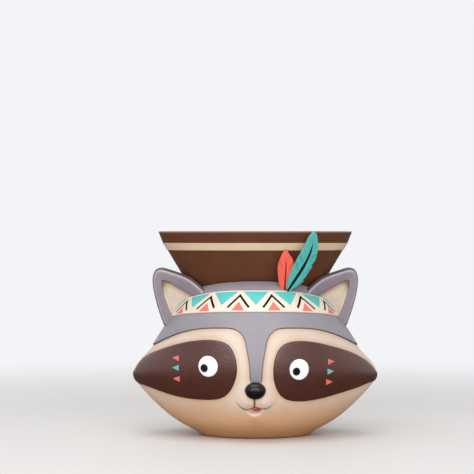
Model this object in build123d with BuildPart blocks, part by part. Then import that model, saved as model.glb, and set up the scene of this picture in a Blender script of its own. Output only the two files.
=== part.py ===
from build123d import *

import os
from math import cos, pi, radians, sin, sqrt

os.makedirs("parts", exist_ok=True)

# Head: overall sizes. The dome height is where the crown would close if the pot did not stand in it.
head_width = 241.8
head_depth = 170.0
dome_height = 157.0
shell_wall = 5.0
section_points = 16

# Horizontal sections of the head, from the base up: height, width, depth and pinch of the cheeks
level_shares = (0, 0.022, 0.07, 0.15, 0.25, 0.335, 0.39, 0.445, 0.54, 0.65, 0.745, 0.835, 0.9, 0.955, 1)
width_shares = (0.447, 0.483, 0.595, 0.746, 0.883, 0.975, 1, 0.977, 0.868, 0.77, 0.688, 0.608, 0.53, 0.458, 0.356)
depth_shares = (0.494, 0.56, 0.69, 0.815, 0.91, 0.965, 0.988, 1, 0.994, 0.966, 0.924, 0.86, 0.776, 0.655, 0.471)
pinch_shares = (0, 0.05, 0.13, 0.24, 0.33, 0.375, 0.385, 0.36, 0.225, 0.09, 0, 0, 0, 0, 0)

# Raised layers on the head, each on top of the one before it
cap_layer = 1.5
trim_layer = 1.0
paint_layer = 0.5

# Muzzle, nose and tongue
muzzle_width = 44.0
muzzle_size = 30.0
muzzle_proud = 7.0
muzzle_height = 44.0
nose_width = 20.0
nose_size = 16.0
nose_height = 50.8
nose_proud = 13.0
tongue_width = 13.4
tongue_drop = 8.8
tongue_height = 34.4
tongue_layer = 1.2

# Face features lie in a front view, tipped a little about a point on the middle line
face_roll = 1.2
face_height = 69.0
patch_inner = 17.8
patch_length = 101.2
patch_low = 40.3
patch_rise = 57.5
patch_wrap = 2.0
patch_outline_shares = (
    (0, 0.51), (0.02, 0.74), (0.076, 0.887), (0.274, 1), (0.496, 0.917), (0.644, 0.82),
    (0.792, 0.708), (0.937, 0.572), (1, 0.45), (1.06, 0.33), (0.947, 0.22), (0.773, 0.15),
    (0.535, 0.042), (0.283, 0), (0.11, 0.117), (0.035, 0.303))

eye_width = 19.3
eye_tall = 20.8
eye_height = 71.9
eye_left_across = -44.9
eye_right_across = 42.0
pupil_width = 6.4
pupil_tall = 7.4
pupil_shift = -3.2
pupil_drop = -1.7

mark_apex_across = 78.0
mark_length = 6.2
mark_tall = 6.2
mark_height = 68.6
mark_pitch = 9.7

# Cap: its lower edge from the nose bridge out to the side, as shares of half the head and the dome
cap_edge_shares = (
    (0.045, 0.331), (0.055, 0.477), (0.077, 0.58), (0.105, 0.65), (0.155, 0.685), (0.255, 0.696),
    (0.422, 0.69), (0.562, 0.668), (0.711, 0.622), (0.806, 0.582), (0.926, 0.515))
cap_back_share = 0.54

# Headband: height of its lower and upper edge at some places across the head
band_across_shares = (0, 0.22, 0.35, 0.47, 0.565, 0.67, 0.78)
band_low_shares = (0.791, 0.789, 0.785, 0.777, 0.767, 0.745, 0.707)
band_high_shares = (0.92, 0.917, 0.905, 0.883, 0.863, 0.839, 0.804)
band_radius = 72.0
pattern_count = 14
teal_half_width = 11.0
teal_low_share = 0.36
teal_high_share = 0.91
coral_half_width = 6.1
coral_low_share = 0.085
coral_high_share = 0.475
chevron_half_width = 11.2
chevron_low_share = 0.24
chevron_high_share = 0.8
chevron_stroke = 1.35

# Right ear: outline in front view, and its front face in plan, which turns outwards
ear_width = 52.4
ear_inner = 48.8
ear_low = 104.0
ear_rise = 62.0
ear_outline_shares = (
    (0, 0.66), (0.22, 0.815), (0.29, 0.87), (0.464, 0.919), (0.721, 0.99), (0.865, 1.01), (0.96, 0.975),
    (1.005, 0.905), (1.02, 0.82), (1.005, 0.668), (0.955, 0.474), (0.885, 0.279), (0.8, 0.084))
ear_root_shares = ((0.3, 0), (0, 0.35))
lining_outline_shares = (
    (0.231, 0.571), (0.412, 0.684), (0.571, 0.732), (0.721, 0.789), (0.847, 0.815),
    (0.836, 0.668), (0.777, 0.505), (0.7, 0.327), (0.653, 0.231), (0.45, 0.15), (0.25, 0.35))
ear_front_depth = 46.0
ear_front_shares = ((-0.053, 1), (0.5, 0.48), (1.053, 0.26))
ear_back_across = -4.0
ear_back_depth = 8.0
lining_sunk = 2.5
lining_thick = 1.5

# Feathers lean forward in front of the pot. Outlines go round from the tip down the left side.
feather_thick = 2.4
feather_gap = 0.2
feather_lean = 12.7
feather_foot_depth = 54.5
feather_foot_height = 145.0
coral_left = 21.1
coral_width = 16.2
coral_rise = 41.0
coral_outline_shares = (
    (0.5, 0.98), (0.154, 0.773), (0, 0.573), (0.02, 0.395), (0.055, 0.205), (0.19, 0.03), (0.28, -0.2),
    (0.52, -0.2), (0.62, 0.06), (0.9, 0.3), (1, 0.52), (0.994, 0.68), (0.883, 0.815), (0.72, 0.9))
coral_quill_shares = ((0.53, 0.71), (0.5, 0.4), (0.46, -0.1))
coral_quill_width = 0.9
teal_left = 29.4
teal_width = 31.6
teal_rise = 57.1
teal_outline_shares = (
    (0.886, 1), (0.722, 0.925), (0.63, 0.835), (0.478, 0.66), (0.313, 0.51), (0.203, 0.389), (0.108, 0.268),
    (0.041, 0.133), (0, 0.02), (0.01, -0.14), (0.1, -0.14), (0.2, 0.04), (0.342, 0.088), (0.462, 0.147),
    (0.545, 0.17), (0.58, 0.222), (0.68, 0.298), (0.75, 0.373), (0.825, 0.42), (0.899, 0.494),
    (0.956, 0.585), (0.984, 0.66), (1, 0.758), (0.994, 0.886), (0.955, 0.965))
teal_quill_shares = (
    (0.832, 0.788), (0.75, 0.644), (0.639, 0.489), (0.478, 0.35), (0.342, 0.231), (0.203, 0.117), (0.054, -0.01))
teal_quill_width = 2.2
quill_layer = 0.4

# Pot: an oval liner that stands on the ribs inside the head
pot_rim_height = 202.7
pot_width = 193.8
pot_depth = 150.0
pot_wall = 4.0
pot_floor = 5.0
pot_stand_height = 36.0
pot_neck_height = 139.0
pot_waist_height = 100.0
pot_flare = 0.594
collar_flare = 0.4
pot_neck_trim = 11.0
pot_foot_trim = 6.0
collar_height = 11.5
collar_proud = 0.5
stripe_height = 7.2
stripe_layer = 0.6
pot_gap = 0.8
pot_rim_round = 0.8

rib_width = 6.0
rib_across = 28.0

drain_bore = 14.0
plug_gap = 0.05
plug_flange = 22.0
plug_flange_thick = 3.0
plug_stem_rise = 5.0
plug_tab_width = 8.0
plug_tab_thick = 3.0
plug_tab_drop = 6.0

half_width = head_width / 2
half_depth = head_depth / 2
overrun = 40.0


def share_between(value, places, results):
    # straight line between the two table places on each side of the value
    for low, high, first, last in zip(places, places[1:], results, results[1:]):
        if value <= high:
            return first + (last - first) * (value - low) / (high - low)
    return results[-1]


def level_slope(shares, size, level):
    # how fast a half size of the head grows with its height at one level
    low = max(level - 1, 0)
    high = min(level + 1, len(level_shares) - 1)
    rise = dome_height * (level_shares[high] - level_shares[low])
    return size * (shares[high] - shares[low]) / rise


def head_section(level, gap):
    # height and half sizes of one section once the wall is moved outwards by the gap
    side = level_slope(width_shares, half_width, level)
    front = level_slope(depth_shares, half_depth, level)
    mean = (side + front) / 2
    lift = -gap * mean / sqrt(1 + mean**2)
    height = dome_height * level_shares[level] + lift
    across = half_width * width_shares[level] + gap * sqrt(1 + side**2) + side * lift
    along = half_depth * depth_shares[level] + gap * sqrt(1 + front**2) + front * lift
    return height, across, along


def head_form(gap):
    # the head as a closed solid, lofted through ovals that are drawn in towards the cheeks
    with BuildPart() as form:
        for level, pinch in enumerate(pinch_shares):
            height, across, along = head_section(level, gap)
            turns = [2 * pi * step / section_points + pi / 2 for step in range(section_points)]
            points = [(across * cos(turn), along * sin(turn) * (1 - pinch * cos(turn) ** 2))
                      for turn in turns]
            with BuildSketch(Plane.XY.offset(height)):
                with BuildLine():
                    Spline(points, periodic=True)
                make_face()
        loft()
    return form.part


def egg(width, size, middle):
    # an egg lying across the face, round about its own long axis
    with BuildPart() as form:
        with BuildSketch(Plane(middle, x_dir=(1, 0, 0), z_dir=(0, -1, 0))):
            with BuildLine():
                EllipticalCenterArc((0, 0), width / 2, size / 2, arc_size=180)
                Line((-width / 2, 0), (width / 2, 0))
            make_face()
        revolve(axis=Axis(middle, (1, 0, 0)))
    return form.part


def front_of_face(height):
    # how far the face stands out from the middle of the head at this height
    return half_depth * share_between(height / dome_height, level_shares, depth_shares)


muzzle_y = muzzle_size / 2 - muzzle_proud - front_of_face(muzzle_height)
muzzle_middle = (0, muzzle_y, muzzle_height)
muzzle_form = egg(muzzle_width, muzzle_size, muzzle_middle)

# Nose: an egg that lies across the top of the muzzle, let into a socket of its own shape
nose_middle = (0, nose_size / 2 - nose_proud - front_of_face(nose_height), nose_height)
with BuildPart() as nose:
    add(egg(nose_width, nose_size, nose_middle))

face_form = head_form(0)
cap_form = head_form(cap_layer)
trim_form = head_form(cap_layer + trim_layer)
paint_form = head_form(cap_layer + trim_layer + paint_layer)
cavity_form = head_form(-shell_wall)

# Pot profile: half width at each height, with the collar at the top and a steeper tub inside the head
collar_low = pot_rim_height - collar_height
stripe_low = collar_low - stripe_height
collar_half = pot_width / 2 - collar_flare * collar_height
wall_half = collar_half - collar_proud
neck_half = wall_half - pot_flare * (collar_low - pot_neck_height)
oval_trim = (pot_width - pot_depth) / 2
waist_half = neck_half - pot_neck_trim
foot_half = waist_half - pot_foot_trim
waist_oval_trim = oval_trim - pot_foot_trim
pot_levels = (
    (pot_stand_height, foot_half, foot_half - waist_oval_trim),
    (pot_waist_height, waist_half, waist_half - waist_oval_trim),
    (pot_neck_height, neck_half, neck_half - oval_trim),
    (collar_low, wall_half, wall_half - oval_trim))


def pot_form(gap, low, high):
    # the outside of the pot below its collar, moved outwards by the gap, from one height to another
    with BuildPart() as form:
        for height, across, along in pot_levels:
            with BuildSketch(Plane.XY.offset(height)):
                Ellipse(across + gap, along + gap)
        loft(ruled=True)
        with BuildSketch(Plane.XY.offset(low)):
            Rectangle(pot_width + overrun, pot_depth + overrun)
        extrude(amount=high - low, mode=Mode.INTERSECT)
    return form.part


opening_form = pot_form(pot_gap, pot_waist_height, collar_low)

# Two ribs run from front to back across the floor of the head and carry the pot
with BuildPart() as ribs:
    with BuildSketch(Plane.XY.offset(shell_wall / 2)):
        with Locations((-rib_across, 0), (rib_across, 0)):
            Rectangle(rib_width, head_depth)
    extrude(amount=pot_stand_height - shell_wall / 2)
    add(face_form, mode=Mode.INTERSECT)

# Head shell: hollow, open at the crown and flat underneath
with BuildPart() as head_shell:
    add(face_form)
    add(muzzle_form)
    add(cavity_form, mode=Mode.SUBTRACT)
    add(ribs.part)
    add(opening_form, mode=Mode.SUBTRACT)
    add(nose.part, mode=Mode.SUBTRACT)

# Cap: the region above its lower edge in front, and above a level edge behind
cap_edge = [(half_width * across, dome_height * high) for across, high in cap_edge_shares]
cap_top = dome_height + overrun
cap_side = half_width + overrun
with BuildPart() as crown_cap:
    with BuildSketch(Plane.XZ):
        with BuildLine():
            edge = Spline(cap_edge)
            Polyline(edge @ 1, (cap_side, cap_edge[-1][1]), (cap_side, cap_top), (0, cap_top))
            Line((0, cap_edge[0][1]), edge @ 0)
            mirror(about=Plane.YZ)
        make_face()
    extrude(amount=half_depth + overrun)
    with BuildSketch(Plane.XZ):
        back_low = dome_height * cap_back_share
        with Locations((0, (back_low + cap_top) / 2)):
            Rectangle(2 * cap_side, cap_top - back_low)
    extrude(amount=-half_depth - overrun)
    add(cap_form, mode=Mode.INTERSECT)
    add(face_form, mode=Mode.SUBTRACT)
    add(muzzle_form, mode=Mode.SUBTRACT)
    add(opening_form, mode=Mode.SUBTRACT)
    add(nose.part, mode=Mode.SUBTRACT)

# Headband: one skin over the cap between its two edges
band_places = [half_width * share for share in band_across_shares]
band_lows = [dome_height * share for share in band_low_shares]
band_highs = [dome_height * share for share in band_high_shares]


def band_block(form):
    # the part of a head form between the two edges of the band, seen from the front
    with BuildPart() as block:
        with BuildSketch(Plane.XZ):
            with BuildLine():
                low_edge = Spline(list(zip(band_places, band_lows)), tangents=((1, 0), (1, -1)))
                high_edge = Spline(list(zip(band_places, band_highs)), tangents=((1, 0), (1, -1)))
                Line(low_edge @ 1, high_edge @ 1)
                mirror(about=Plane.YZ)
            make_face()
        extrude(amount=half_depth + overrun, both=True)
        add(form, mode=Mode.INTERSECT)
    return block.part


with BuildPart() as headband:
    add(band_block(trim_form))
    add(cap_form, mode=Mode.SUBTRACT)


def pattern_plane(angle):
    # upright plane that faces outwards, near the inside of the band
    outward = (sin(radians(angle)), -cos(radians(angle)), 0)
    start = band_radius - overrun / 2
    origin = (start * outward[0], start * outward[1], 0)
    return Plane(origin, x_dir=(-outward[1], outward[0], 0), z_dir=outward)


def band_height(angle, share):
    # height on the band at this turn from the front, from its lower edge up
    across = abs(band_radius * sin(radians(angle)))
    low = share_between(across, band_places, band_lows)
    high = share_between(across, band_places, band_highs)
    return low + share * (high - low)


pattern_angles = [360 * step / pattern_count for step in range(pattern_count)]
half_pitch = 180 / pattern_count

with BuildPart() as band_teal_triangles:
    for angle in pattern_angles:
        with BuildSketch(pattern_plane(angle)):
            with BuildLine():
                top = band_height(angle, teal_high_share)
                Polyline((-teal_half_width, top), (teal_half_width, top),
                         (0, band_height(angle, teal_low_share)), close=True)
            make_face()
        extrude(amount=overrun)
    add(paint_form, mode=Mode.INTERSECT)
    add(trim_form, mode=Mode.SUBTRACT)

with BuildPart() as band_coral_triangles:
    for angle in pattern_angles:
        turned = angle + half_pitch
        with BuildSketch(pattern_plane(turned)):
            with BuildLine():
                base = band_height(turned, coral_low_share)
                Polyline((-coral_half_width, base), (coral_half_width, base),
                         (0, band_height(turned, coral_high_share)), close=True)
            make_face()
        extrude(amount=overrun)
    add(paint_form, mode=Mode.INTERSECT)
    add(trim_form, mode=Mode.SUBTRACT)

with BuildPart() as band_chevrons:
    for angle in pattern_angles:
        turned = angle + half_pitch
        with BuildSketch(pattern_plane(turned)):
            with BuildLine():
                foot = band_height(turned, chevron_low_share)
                peak = band_height(turned, chevron_high_share)
                slant = chevron_stroke * sqrt((peak - foot) ** 2 + chevron_half_width**2) / chevron_half_width
                Polyline((-chevron_half_width, foot), (0, peak), (chevron_half_width, foot),
                         (chevron_half_width - chevron_stroke, foot), (0, peak - slant),
                         (chevron_stroke - chevron_half_width, foot), close=True)
            make_face()
        extrude(amount=overrun)
    add(paint_form, mode=Mode.INTERSECT)
    add(trim_form, mode=Mode.SUBTRACT)

# Face pieces are drawn in this plane, from the middle of the face
face_tip = radians(face_roll)
face_plane = Plane((0, 0, face_height), x_dir=(cos(face_tip), 0, -sin(face_tip)), z_dir=(0, -1, 0))
front_reach = half_depth + overrun


def patch_points(side):
    # outline of an eye patch on the right side for 1, on the left side for -1
    return [(side * (patch_inner + patch_length * across), patch_low - face_height + patch_rise * high)
            for across, high in patch_outline_shares]


# The layer of the patches over the front of the head, and a little way past the cheek tips
with BuildPart() as front_skin:
    with BuildSketch(Plane.XY.offset(-overrun)):
        with Locations((0, patch_wrap - front_reach / 2)):
            Rectangle(2 * cap_side, front_reach)
    extrude(amount=cap_top + overrun)
    add(cap_form, mode=Mode.INTERSECT)
    add(face_form, mode=Mode.SUBTRACT)


def eye_patch(side):
    with BuildPart() as patch:
        with BuildSketch(face_plane.offset(-overrun)):
            with BuildLine():
                Spline(patch_points(side), periodic=True)
            make_face()
        extrude(amount=front_reach + overrun)
        add(front_skin.part, mode=Mode.INTERSECT)
    return patch.part


def face_disc(across, high, width, tall, outer, inner):
    # an oval of the layer between two head forms
    with BuildPart() as disc:
        with BuildSketch(face_plane):
            with Locations((across, high - face_height)):
                Ellipse(width / 2, tall / 2)
        extrude(amount=front_reach)
        add(outer, mode=Mode.INTERSECT)
        add(inner, mode=Mode.SUBTRACT)
    return disc.part


sides = {"left": -1, "right": 1}
eye_across = {"left": eye_left_across, "right": eye_right_across}
face_parts = {}
for name, side in sides.items():
    face_parts["eye_patch_" + name] = eye_patch(side)
    face_parts["eye_white_" + name] = face_disc(
        eye_across[name], eye_height, eye_width, eye_tall, trim_form, cap_form)
    face_parts["pupil_" + name] = face_disc(
        eye_across[name] + pupil_shift, eye_height + pupil_drop, pupil_width, pupil_tall, paint_form, trim_form)


def cheek_marks(rows):
    # triangles on both patches that point out towards the cheek tips, in the rows given
    with BuildPart() as marks:
        for side in sides.values():
            for row in rows:
                with BuildSketch(face_plane):
                    with BuildLine():
                        middle = mark_height - face_height + row * mark_pitch
                        base = side * (mark_apex_across - mark_length)
                        Polyline((side * mark_apex_across, middle), (base, middle + mark_tall / 2),
                                 (base, middle - mark_tall / 2), close=True)
                    make_face()
                extrude(amount=front_reach)
        add(trim_form, mode=Mode.INTERSECT)
        add(cap_form, mode=Mode.SUBTRACT)
    return marks.part


face_parts["cheek_marks_coral"] = cheek_marks((-1, 1))
face_parts["cheek_marks_teal"] = cheek_marks((0,))

# Tongue: a small pointed drop on the underside of the muzzle
with BuildPart() as tongue:
    with BuildSketch(Plane.XZ):
        with BuildLine():
            side_low = tongue_height - tongue_drop / 3
            arch = Polyline((-tongue_width / 2, side_low), (0, tongue_height), (tongue_width / 2, side_low))
            ThreePointArc(arch @ 1, (0, tongue_height - tongue_drop), arch @ 0)
        make_face()
    extrude(amount=front_reach)
    add(egg(muzzle_width + 2 * tongue_layer, muzzle_size + 2 * tongue_layer, muzzle_middle),
        mode=Mode.INTERSECT)
    add(face_form, mode=Mode.SUBTRACT)
    add(muzzle_form, mode=Mode.SUBTRACT)

# Ears: an outline in front view, taken out of a curved upright slab, with a recess for the lining
ear_thick = sqrt(ear_back_across**2 + ear_back_depth**2)
lining_front_share = lining_sunk / ear_thick
lining_back_share = (lining_sunk + lining_thick) / ear_thick
band_paint = band_block(paint_form)


def ear_slab(near, far):
    # upright slab between two copies of the ear's front curve, each set back by a share of the thickness
    curves = [[(ear_inner + ear_width * across + back * ear_back_across,
                back * ear_back_depth - ear_front_depth * deep) for across, deep in ear_front_shares]
              for back in (near, far)]
    with BuildPart() as slab:
        with BuildSketch(Plane.XY.offset(ear_low - overrun)):
            with BuildLine():
                front = ThreePointArc(*curves[0])
                back = ThreePointArc(*curves[1])
                Line(front @ 0, back @ 0)
                Line(front @ 1, back @ 1)
            make_face()
        extrude(amount=ear_rise + 2 * overrun)
    return slab.part


def ear_places(shares):
    return [(ear_inner + ear_width * across, ear_low + ear_rise * high) for across, high in shares]


def lining_block(near, far):
    # the outline of the lining, through the slab between two depths
    with BuildPart() as block:
        with BuildSketch(Plane.XZ):
            with BuildLine():
                Polyline(ear_places(lining_outline_shares), close=True)
            make_face()
        extrude(amount=half_depth)
        add(ear_slab(near, far), mode=Mode.INTERSECT)
    return block.part


with BuildPart() as ear_right:
    with BuildSketch(Plane.XZ):
        with BuildLine():
            rim = Spline(ear_places(ear_outline_shares))
            Polyline(rim @ 1, *ear_places(ear_root_shares), rim @ 0)
        make_face()
    extrude(amount=half_depth)
    add(ear_slab(0, 1), mode=Mode.INTERSECT)
    add(lining_block(-1, lining_back_share), mode=Mode.SUBTRACT)
    add(cap_form, mode=Mode.SUBTRACT)
    add(band_paint, mode=Mode.SUBTRACT)
    add(opening_form, mode=Mode.SUBTRACT)

with BuildPart() as ear_lining_right:
    add(lining_block(lining_front_share, lining_back_share))
    add(cap_form, mode=Mode.SUBTRACT)
    add(band_paint, mode=Mode.SUBTRACT)
    add(opening_form, mode=Mode.SUBTRACT)

with BuildPart() as ear_left:
    mirror(ear_right.part, about=Plane.YZ)

with BuildPart() as ear_lining_left:
    mirror(ear_lining_right.part, about=Plane.YZ)


def feather_plane(forward):
    # leaning plane through the foot of the feathers, moved forward along its own facing
    lean = radians(feather_lean)
    facing = (0, -cos(lean), -sin(lean))
    return Plane((0, -feather_foot_depth, feather_foot_height), x_dir=(1, 0, 0), z_dir=facing).offset(forward)


def feather_places(shares, left, width, rise):
    slope = cos(radians(feather_lean))
    return [(left + width * across, rise * high / slope) for across, high in shares]


def feather(outline, forward):
    with BuildPart() as vane:
        with BuildSketch(feather_plane(forward)):
            with BuildLine():
                Spline(outline, periodic=True)
            make_face()
        extrude(amount=feather_thick)
        add(cap_form, mode=Mode.SUBTRACT)
        add(band_paint, mode=Mode.SUBTRACT)
    return vane.part


def quill(spine, width, forward):
    # a thin raised line along the feather that narrows towards its top
    count = len(spine) - 1
    lefts = [(across - width * (1 + step) / (2 + 2 * count), high) for step, (across, high) in enumerate(spine)]
    rights = [(across + width * (1 + step) / (2 + 2 * count), high) for step, (across, high) in enumerate(spine)]
    with BuildPart() as line:
        with BuildSketch(feather_plane(forward)):
            with BuildLine():
                Polyline(*lefts, *reversed(rights), close=True)
            make_face()
        extrude(amount=quill_layer)
        add(cap_form, mode=Mode.SUBTRACT)
        add(band_paint, mode=Mode.SUBTRACT)
    return line.part


teal_forward = feather_thick + quill_layer + feather_gap
feather_parts = {
    "feather_coral": feather(feather_places(coral_outline_shares, coral_left, coral_width, coral_rise), 0),
    "quill_coral": quill(feather_places(coral_quill_shares, coral_left, coral_width, coral_rise),
                         coral_quill_width, feather_thick),
    "feather_teal": feather(feather_places(teal_outline_shares, teal_left, teal_width, teal_rise), teal_forward),
    "quill_teal": quill(feather_places(teal_quill_shares, teal_left, teal_width, teal_rise),
                        teal_quill_width, teal_forward + feather_thick)}

# Pot: flared walls, a collar at the top, hollow, with a drain hole in its floor
with BuildPart() as pot:
    add(pot_form(0, pot_stand_height, collar_low))
    with BuildSketch(Plane.XY.offset(collar_low)):
        Ellipse(collar_half, collar_half - oval_trim)
    with BuildSketch(Plane.XY.offset(pot_rim_height)):
        Ellipse(pot_width / 2, pot_depth / 2)
    loft(ruled=True)
    add(pot_form(-pot_wall, pot_stand_height + pot_floor, collar_low), mode=Mode.SUBTRACT)
    with BuildSketch(Plane.XY.offset(collar_low)):
        Ellipse(wall_half - pot_wall, wall_half - pot_wall - oval_trim)
    with BuildSketch(Plane.XY.offset(pot_rim_height)):
        Ellipse(pot_width / 2 - pot_wall, pot_depth / 2 - pot_wall)
    loft(ruled=True, mode=Mode.SUBTRACT)
    fillet(pot.edges().group_by(Axis.Z)[-1], pot_rim_round)
    with BuildSketch(Plane.XY.offset(pot_stand_height)):
        Circle(drain_bore / 2)
    extrude(amount=pot_floor, mode=Mode.SUBTRACT)

with BuildPart() as pot_stripe:
    add(pot_form(stripe_layer, stripe_low, collar_low))
    add(pot_form(0, stripe_low, collar_low), mode=Mode.SUBTRACT)

# Drain plug: pushed up into the drain hole from below, with a flange and a tab to pull
with BuildPart() as drain_plug:
    with BuildSketch(Plane.XY.offset(pot_stand_height)):
        Circle(drain_bore / 2 - plug_gap)
    extrude(amount=plug_stem_rise)
    with BuildSketch(Plane.XY.offset(pot_stand_height)):
        Circle(plug_flange / 2)
    extrude(amount=-plug_flange_thick)
    with BuildSketch(Plane.XY.offset(pot_stand_height - plug_flange_thick)):
        Rectangle(plug_tab_width, plug_tab_thick)
    extrude(amount=-plug_tab_drop)

pieces = {
    "head_shell": head_shell.part,
    "crown_cap": crown_cap.part,
    "headband": headband.part,
    "band_teal_triangles": band_teal_triangles.part,
    "band_coral_triangles": band_coral_triangles.part,
    "band_chevrons": band_chevrons.part,
    "nose": nose.part,
    "tongue": tongue.part,
    "ear_left": ear_left.part,
    "ear_right": ear_right.part,
    "ear_lining_left": ear_lining_left.part,
    "ear_lining_right": ear_lining_right.part,
    "pot": pot.part,
    "pot_stripe": pot_stripe.part,
    "drain_plug": drain_plug.part,
    **face_parts,
    **feather_parts}

for name, piece in pieces.items():
    piece.label = name
    export_step(piece, f"parts/{name}.step")
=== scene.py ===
import math

import bpy
import numpy as np
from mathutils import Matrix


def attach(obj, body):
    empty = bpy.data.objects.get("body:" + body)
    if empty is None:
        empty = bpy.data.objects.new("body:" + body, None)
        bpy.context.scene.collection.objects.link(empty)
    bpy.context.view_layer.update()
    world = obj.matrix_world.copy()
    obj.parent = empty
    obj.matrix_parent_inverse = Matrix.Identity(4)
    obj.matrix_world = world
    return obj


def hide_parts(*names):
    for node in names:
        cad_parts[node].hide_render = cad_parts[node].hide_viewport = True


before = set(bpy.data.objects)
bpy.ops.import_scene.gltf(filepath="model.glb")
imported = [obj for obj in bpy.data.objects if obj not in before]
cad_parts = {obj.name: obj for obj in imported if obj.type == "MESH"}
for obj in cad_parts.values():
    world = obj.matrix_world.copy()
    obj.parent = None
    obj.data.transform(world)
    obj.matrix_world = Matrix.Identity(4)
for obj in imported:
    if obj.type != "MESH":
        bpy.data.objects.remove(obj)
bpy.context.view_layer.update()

print("frame loaded")

# Shapes are worked out in millimetres and put into the meshes in metres
metre = 0.001
front = -math.pi / 2  # the turn of the head that faces the camera

head = {
    "width": 241.8, "depth": 170.0, "dome": 157.0, "wall": 5.0, "crownFrom": 0.7,
    # each section has its height, width and depth as shares of the head's, and how far its sides are pinched
    "sections": ((0, 0.447, 0.494, 0), (0.022, 0.483, 0.56, 0.05), (0.07, 0.595, 0.69, 0.13),
                 (0.15, 0.746, 0.815, 0.24), (0.25, 0.883, 0.91, 0.33), (0.335, 0.975, 0.965, 0.375),
                 (0.39, 1, 0.988, 0.385), (0.445, 0.977, 1, 0.36), (0.54, 0.868, 0.994, 0.225),
                 (0.65, 0.77, 0.966, 0.09), (0.745, 0.688, 0.924, 0), (0.835, 0.608, 0.86, 0),
                 (0.9, 0.53, 0.776, 0), (0.955, 0.458, 0.655, 0), (1, 0.356, 0.471, 0)),
}
layers = {"cap": 1.5, "trim": 1.0}


def smoothTable(places, values):
    # cubics between the places of a table, whose bends agree where they meet and vanish at both ends
    x, y = np.asarray(places, float), np.asarray(values, float)
    step = np.diff(x)
    system = np.eye(len(x))
    right = np.zeros(len(x))
    inner = np.arange(1, len(x) - 1)
    system[inner, inner - 1] = step[:-1]
    system[inner, inner] = 2 * (step[:-1] + step[1:])
    system[inner, inner + 1] = step[1:]
    right[inner] = 6 * np.diff(np.diff(y) / step)
    bend = np.linalg.solve(system, right)

    def curve(at):
        at = np.asarray(at, float)
        k = np.clip(np.searchsorted(x, at, side="right") - 1, 0, len(x) - 2)
        low, high, size = at - x[k], x[k + 1] - at, step[k]
        line = (y[k] / size - bend[k] * size / 6) * high
        line = line + (y[k + 1] / size - bend[k + 1] * size / 6) * low
        return line + (bend[k] * high ** 3 + bend[k + 1] * low ** 3) / (6 * size)

    return curve


def blend(first, last, share):
    # first at share 0, last at share 1
    return first + share * (last - first)


def fullTurn(count):
    # even angles right round
    return np.linspace(0, 2 * math.pi, count, endpoint=False)


def lengthAlong(line):
    # the length of a line up to each of its points
    return np.concatenate(([0], np.cumsum(np.linalg.norm(np.diff(line, axis=0), axis=1))))


def smoothPath(points, count, closed=False):
    # a smooth line through the points in equal lengths; if it is closed, the middle one of three rounds
    points = np.asarray(points, float)
    lap = len(points)
    if closed:
        points = np.concatenate((points, points, points, points[:1]))
    length = lengthAlong(points)
    first, last = (length[lap], length[2 * lap]) if closed else (0, length[-1])
    fine = np.linspace(first, last, 2000)
    line = np.stack([smoothTable(length, column)(fine) for column in points.T], -1)
    run = lengthAlong(line)
    even = np.linspace(0, run[-1], count, endpoint=not closed)
    return np.stack([np.interp(even, run, column) for column in line.T], -1)


def dividedPath(points, count, closed=False):
    # straight runs through the points, divided into about equal lengths with every corner kept
    points = np.asarray(points, float)
    if closed:
        points = np.concatenate((points, points[:1]))
    run = np.linalg.norm(np.diff(points, axis=0), axis=1)
    parts = np.maximum(1, np.round(count * run / run.sum())).astype(int)
    line = [start + (end - start) * np.arange(part)[:, None] / part
            for start, end, part in zip(points[:-1], points[1:], parts)]
    return np.concatenate(line if closed else line + [points[-1:]])


def softened(line, reach):
    # each point of a closed line becomes the mean of its neighbours up to this many steps away
    return np.mean([np.roll(line, step, axis=0) for step in range(-reach, reach + 1)], axis=0)


def smoothStep(low, high, at):
    # climbs from 0 to 1 between low and high, level at both ends
    share = np.clip((at - low) / (high - low), 0, 1)
    return share * share * (3 - 2 * share)


def bell(distance, width):
    # 1 at no distance, falling off as e to the minus (distance / width) squared
    return np.exp(-((distance / width) ** 2))


def quarterClimb(apart, rim):
    # height of a quarter circle this far from its foot, 1 from the rim on
    return np.sqrt(1 - (1 - np.clip(apart / rim, 0, 1)) ** 2)


def softSpot(across, high, centre, size):
    # a bell over an oval of these half sizes about its centre
    return bell(np.hypot((across - centre[0]) / size[0], (high - centre[1]) / size[1]), 1.0)


def gapTo(line, places, chunk=4000):
    # distance from each place to the nearest point of a line
    flat = places.reshape(-1, places.shape[-1])
    near = [np.sqrt(((flat[k:k + chunk, None] - line[None]) ** 2).sum(-1)).min(1)
            for k in range(0, len(flat), chunk)]
    return np.concatenate(near).reshape(places.shape[:-1])


def halve(low, high, isBelow):
    # the level up to which the test holds, found by halving the range again and again
    for _ in range(30):
        middle = (low + high) / 2
        below = isBelow(middle)
        low, high = np.where(below, middle, low), np.where(below, high, middle)
    return low


sectionHeights, sectionWidths, sectionDepths, pinches = np.transpose(head["sections"])
sectionHeights = sectionHeights * head["dome"]
widthAt = smoothTable(sectionHeights, sectionWidths * head["width"] / 2)
depthAt = smoothTable(sectionHeights, sectionDepths * head["depth"] / 2)
pinchAt = smoothTable(sectionHeights, pinches)


def bareHead(turn, high):
    # across = half width * cos(turn), along = half depth * sin(turn) * (1 - pinch * cos(turn) squared)
    turn, high = np.broadcast_arrays(turn, high)
    across = widthAt(high) * np.cos(turn)
    along = depthAt(high) * np.sin(turn) * (1 - pinchAt(high) * np.cos(turn) ** 2)
    return np.stack((across, along, high), -1)


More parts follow.
